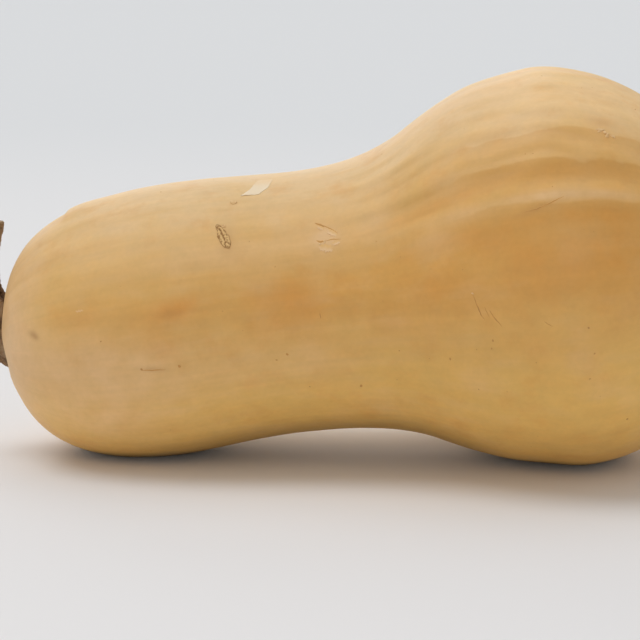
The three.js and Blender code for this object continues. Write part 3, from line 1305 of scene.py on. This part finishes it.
SPECKS = [                      # along, round, width in millimetres
    (96.6, 103.0, 1.0),
    (118.3, 121.5, 1.2),
    (147.9, 107.5, 1.0),
    (62.3, 101.0, 1.1),
    (50.2, 99.8, 0.9),
    (161.7, 101.0, 0.9),
    (161.0, 103.5, 0.7),
    (93.0, 105.0, 0.7),
    (190.8, 98.5, 0.8),
    (191.8, 106.0, 0.7),
    (189.7, 113.5, 0.7),
    (200.2, 132.0, 0.9),
    (155.5, 118.0, 0.6),
    (38.5, 86.0, 0.6),
    (120.0, -88.0, 0.9),
    (60.0, -112.0, 1.0),
    (205.0, -95.0, 0.8),
]
CRUMBS = [                      # along, round, reach along and round in millimetres, how many, width
    (202.0, 41.0, 1.4, 0.6, 8, 1.0),
    (204.8, 42.4, 1.5, 0.6, 8, 1.0),
    (83.5, 30.6, 0.8, 0.5, 5, 1.2),
    (80.6, 43.6, 0.6, 0.7, 4, 0.7),
    (157.2, 86.8, 0.2, 0.2, 2, 0.9),
    (112.0, 57.4, 1.2, 0.8, 4, 0.7),
    (104.0, -52.0, 2.0, 1.0, 7, 1.0),
]
CRUMB_SEED = 12
PEBBLE_ROUNDNESS = 3            # subdivisions of the ball that every lump starts as
PEBBLE_WIDTH = 0.72             # over its length
FRECKLE_FLOOR = 2               # millimetres up, below which the skin has no freckles


def dot_mesh(skin, places):
    """Points on the skin with the way out of it and a width, from rows of along, round and width."""
    laid = [skin.lay(along, turn, 0.0) for along, turn, _ in places]
    mesh = bpy.data.meshes.new("dots")
    mesh.from_pydata([point * MM for point, _ in laid], [], [])
    outward = mesh.attributes.new("outward", "FLOAT_VECTOR", "POINT")
    outward.data.foreach_set("vector", [part for _, way in laid for part in way])
    width = mesh.attributes.new("width", "FLOAT", "POINT")
    width.data.foreach_set("value", [width for _, _, width in places])
    return mesh


def pebbles(tree, points, outward, width):
    """A small flattened lump on every point, each turned and shaped a little differently."""
    stand = tree.result("FunctionNodeAlignRotationToVector", {"axis": "Z"}, {"Vector": outward})
    spin = tree.result("FunctionNodeRandomValue", {"data_type": "FLOAT"}, {
        "Min": 0.0, "Max": math.tau, "Seed": tree.given("Seed"),
    })
    spun = tree.result("FunctionNodeAxisAngleToRotation", None, {"Axis": (0.0, 0.0, 1.0), "Angle": spin})
    placed = tree.result("GeometryNodeInstanceOnPoints", None, {
        "Points": points,
        "Instance": tree.result("GeometryNodeMeshIcoSphere", None, {
            "Radius": 0.5 * MM, "Subdivisions": PEBBLE_ROUNDNESS,
        }),
        "Rotation": tree.result(
            "FunctionNodeRotateRotation", {"rotation_space": "LOCAL"}, {"Rotation": stand, "Rotate By": spun}
        ),
        "Scale": tree.joined(width, width * PEBBLE_WIDTH, width * tree.given("Flatness")),
    })
    real = tree.result("GeometryNodeRealizeInstances", None, {0: placed})

    def vector(operation, inputs):
        return tree.result("ShaderNodeVectorMath", {"operation": operation}, inputs)

    here = vector("SCALE", {0: tree.result("GeometryNodeInputPosition"), "Scale": 1 / MM})
    jag = tree.node(
        "ShaderNodeTexNoise", {"noise_dimensions": "3D"}, {"Vector": here, "Scale": 1.6, "Detail": 2.0}
    ).outputs["Color"]
    centred = vector("SUBTRACT", {0: jag, 1: (0.5, 0.5, 0.5)})
    push = vector("SCALE", {0: centred, "Scale": tree.given("Raggedness") * MM})
    return tree.result("GeometryNodeSetPosition", None, {"Geometry": real, "Offset": push})


def scatter_tree(name, finish, flatness, raggedness, seed):
    """Lumps on the points of a mesh that carry the attributes outward and width."""
    tree = GeometryTree(name, {
        "Flatness": flatness, "Raggedness": raggedness, "Seed": seed, "Finish": finish,
    })
    outward, width = (
        tree.result("GeometryNodeInputNamedAttribute", {"data_type": kind}, {"Name": label})
        for kind, label in (("FLOAT_VECTOR", "outward"), ("FLOAT", "width"))
    )
    tree.finished(pebbles(tree, tree.given("Geometry"), outward, Value(tree, width)), "Finish")
    return tree


def freckle_tree(finish, density, seed):
    """Freckles strewn over the whole skin."""
    tree = GeometryTree("Freckles", {
        "Density": density, "Flatness": 0.16, "Raggedness": 0.1, "Seed": seed, "Finish": finish,
    })
    height = tree.parts(tree.result("GeometryNodeInputPosition"))[2]
    strewn = tree.node("GeometryNodeDistributePointsOnFaces", None, {
        "Mesh": tree.given("Geometry"),
        "Selection": tree.maths("GREATER_THAN", height, FRECKLE_FLOOR * MM),
        "Density": tree.given("Density"),
        "Seed": tree.given("Seed"),
    })
    width = Value(tree, tree.result("FunctionNodeRandomValue", {"data_type": "FLOAT"}, {
        "Min": 0.25, "Max": 0.6, "Seed": tree.given("Seed"),
    }))
    tree.finished(pebbles(tree, strewn.outputs["Points"], strewn.outputs["Normal"], width), "Finish")
    return tree


def speck_finish(colours, name, shade, strength):
    """A lump coloured between the skin's ochre and its own shade, by that strength."""
    finish = Finish(name)
    cloud = finish.noise(finish.object_place(), 3.0, 8.0, 2) - 0.5
    skin = finish.mixed(cloud * 0.9 + strength, colours.ochre, shade)
    return finish.shaded(base_color=skin, roughness=cloud * 0.1 + 0.6)


class SQUASH_OT_specks(bpy.types.Operator):
    """Dot the skin with specks, crumbs of cork and freckles"""

    bl_idname = "squash.specks"
    bl_label = "Specks"

    def execute(self, context):
        scene = context.scene
        skin = Skin(scene)
        colours = scene.squash_skin
        dark = speck_finish(colours, "speck", colours.umber, strength=0.45)
        specks = scatter_tree("Specks", dark, flatness=0.22, raggedness=0.2, seed=3)
        claimed(specks.grown("specks", dot_mesh(skin, SPECKS)))
        chance = np.random.default_rng(CRUMB_SEED)
        crumbs = []
        for along, turn, long, wide, count, width in CRUMBS:
            arc = skin.shape.arc(along)
            for _ in range(count):
                ahead, beside, size = chance.uniform(-1, 1, 3)
                crumbs.append((along + long * ahead, turn + wide * beside / arc, width * (1 + 0.4 * size)))
        dry = speck_finish(colours, "crumb", colours.cream, strength=0.75)
        cork = scatter_tree("Crumbs", dry, flatness=0.6, raggedness=0.7, seed=5)
        claimed(cork.grown("crumbs", dot_mesh(skin, crumbs)))
        faint = speck_finish(colours, "freckle", colours.umber, strength=0.4)
        strewn = freckle_tree(faint, scene.squash_marks.freckles, seed=9)
        claimed(strewn.grown("freckles", bpy.data.objects["squash_skin"].data))
        return {"FINISHED"}


# ---- The stage ----

FLOOR_RADIUS = 40.0     # metres
FLOOR_STEP = 5          # degrees between the points of its rim
FLOOR_FADE = (150, 1500)        # millimetres behind the squash, from the near colour to the far painted shade
HORIZON_SHARPNESS = 10  # how quickly the room darkens above the floor
LAMPS = [               # name, degrees round from behind, degrees up, width in degrees, strength
    ("key_lamp", 270, 65, 30, 0.294),
    ("back_lamp", 345, 22, 40, 0.19),
    ("front_lamp", 180, 12, 20, 0.12),
    ("top_lamp", 0, 72, 50, 0.185),
]
LOOK_AT = Vector((-0.0087, 0.0, 0.0459))        # what the camera points at, in metres


def floor_finish(stage):
    """Even pale paper, with painted shade that darkens it a little far behind the squash."""
    finish = Finish("studio_floor")
    _, behind, _ = finish.parts(finish.object_place())
    paper = finish.mixed(finish.fade(behind, *FLOOR_FADE), stage.floor, stage.floor_far_shade)
    return finish.shaded(base_color=paper, roughness=1.0, specular_ior_level=0.0)


def add_floor(stage):
    """A round floor that reaches far past the view."""
    turns = np.radians(np.arange(0, 360, FLOOR_STEP))
    mesh = bpy.data.meshes.new("studio_floor")
    rim = [(FLOOR_RADIUS * math.cos(t), FLOOR_RADIUS * math.sin(t), 0.0) for t in turns]
    mesh.from_pydata(rim, [], [range(len(rim))])
    mesh.materials.append(floor_finish(stage))
    floor = bpy.data.objects.new("studio_floor", mesh)
    bpy.context.scene.collection.objects.link(floor)


def add_lights(stage):
    """Wide soft lamps, far away."""
    for name, turn, height, size, strength in LAMPS:
        sun = bpy.data.lights.new(name, "SUN")
        sun.energy = math.pi * strength * stage.lamps
        sun.angle = math.radians(size)
        lamp = bpy.data.objects.new(name, sun)
        lamp.rotation_euler = (math.radians(height - 90), 0, -math.radians(turn))
        bpy.context.scene.collection.objects.link(lamp)


def add_room(stage):
    """Pale walls all round, as bright as the floor where they meet it, and dimmer overhead."""
    world = bpy.data.worlds.new("studio_room")
    world.use_nodes = True
    room = Graph(world.node_tree)
    room.tree.nodes.clear()
    height = room.parts(room.node("ShaderNodeTexCoord").outputs["Generated"])[2]
    glow = room.clamped(1 - height) ** HORIZON_SHARPNESS * stage.horizon + stage.overhead
    walls = room.result("ShaderNodeBackground", None, {"Color": opaque(stage.walls), "Strength": glow})
    room.node("ShaderNodeOutputWorld", None, {"Surface": walls})
    bpy.context.scene.world = world


def add_camera(stage):
    """A camera in front of the squash, a little above it."""
    data = bpy.data.cameras.new("camera")
    data.lens = stage.focal_length
    data.sensor_width = 36
    data.clip_start = 0.01
    data.clip_end = 100
    turn, height = stage.camera_turn, stage.camera_height
    back = Vector((
        math.sin(turn) * math.cos(height),
        -math.cos(turn) * math.cos(height),
        math.sin(height),
    ))
    camera = bpy.data.objects.new("camera", data)
    camera.location = LOOK_AT + back * stage.camera_distance
    camera.rotation_euler = back.to_track_quat("Z", "Y").to_euler()
    bpy.context.scene.collection.objects.link(camera)
    bpy.context.scene.camera = camera


class SQUASH_OT_stage(bpy.types.Operator):
    """Lay the pale floor, light it softly and place the camera"""

    bl_idname = "squash.stage"
    bl_label = "Stage"

    def execute(self, context):
        scene = context.scene
        stage = scene.squash_stage
        add_floor(stage)
        add_lights(stage)
        add_room(stage)
        add_camera(stage)
        scene.view_settings.view_transform = "Standard"
        return {"FINISHED"}


# ---- The panel and registration ----

BUILDERS = (
    SQUASH_OT_stage,
    SQUASH_OT_fruit,
    SQUASH_OT_stem,
    SQUASH_OT_scars,
    SQUASH_OT_scratches,
    SQUASH_OT_specks,
)
SETTINGS = {
    "squash_stage": StageSettings,
    "squash_fruit": FruitSizes,
    "squash_stem": StemSizes,
    "squash_marks": MarkSizes,
    "squash_skin": SkinColours,
    "squash_bark": BarkColours,
}


class SQUASH_PT_panel(bpy.types.Panel):
    """Every part of the squash, in the order it is built"""

    bl_idname = "SQUASH_PT_panel"
    bl_label = "Butternut Squash"
    bl_space_type = "VIEW_3D"
    bl_region_type = "UI"
    bl_category = "Squash"

    def draw(self, context):
        for builder in BUILDERS:
            self.layout.operator(builder.bl_idname)
        for name, settings in SETTINGS.items():
            box = self.layout.box()
            for key in settings.__annotations__:
                box.prop(getattr(context.scene, name), key)


def register():
    """Adds the settings, the operators and the panel to Blender."""
    for name, settings in SETTINGS.items():
        bpy.utils.register_class(settings)
        setattr(bpy.types.Scene, name, PointerProperty(type=settings))
    for made in (*BUILDERS, SQUASH_PT_panel):
        bpy.utils.register_class(made)


def unregister():
    """Takes the settings, the operators and the panel out again."""
    for made in reversed((*BUILDERS, SQUASH_PT_panel)):
        bpy.utils.unregister_class(made)
    for name, settings in SETTINGS.items():
        delattr(bpy.types.Scene, name)
        bpy.utils.unregister_class(settings)


def main():
    """Builds the whole scene."""
    register()
    bpy.ops.squash.stage()
    bpy.ops.squash.fruit()
    bpy.ops.squash.stem()
    bpy.ops.squash.scars()
    bpy.ops.squash.scratches()
    bpy.ops.squash.specks()


if __name__ == "__main__":
    main()
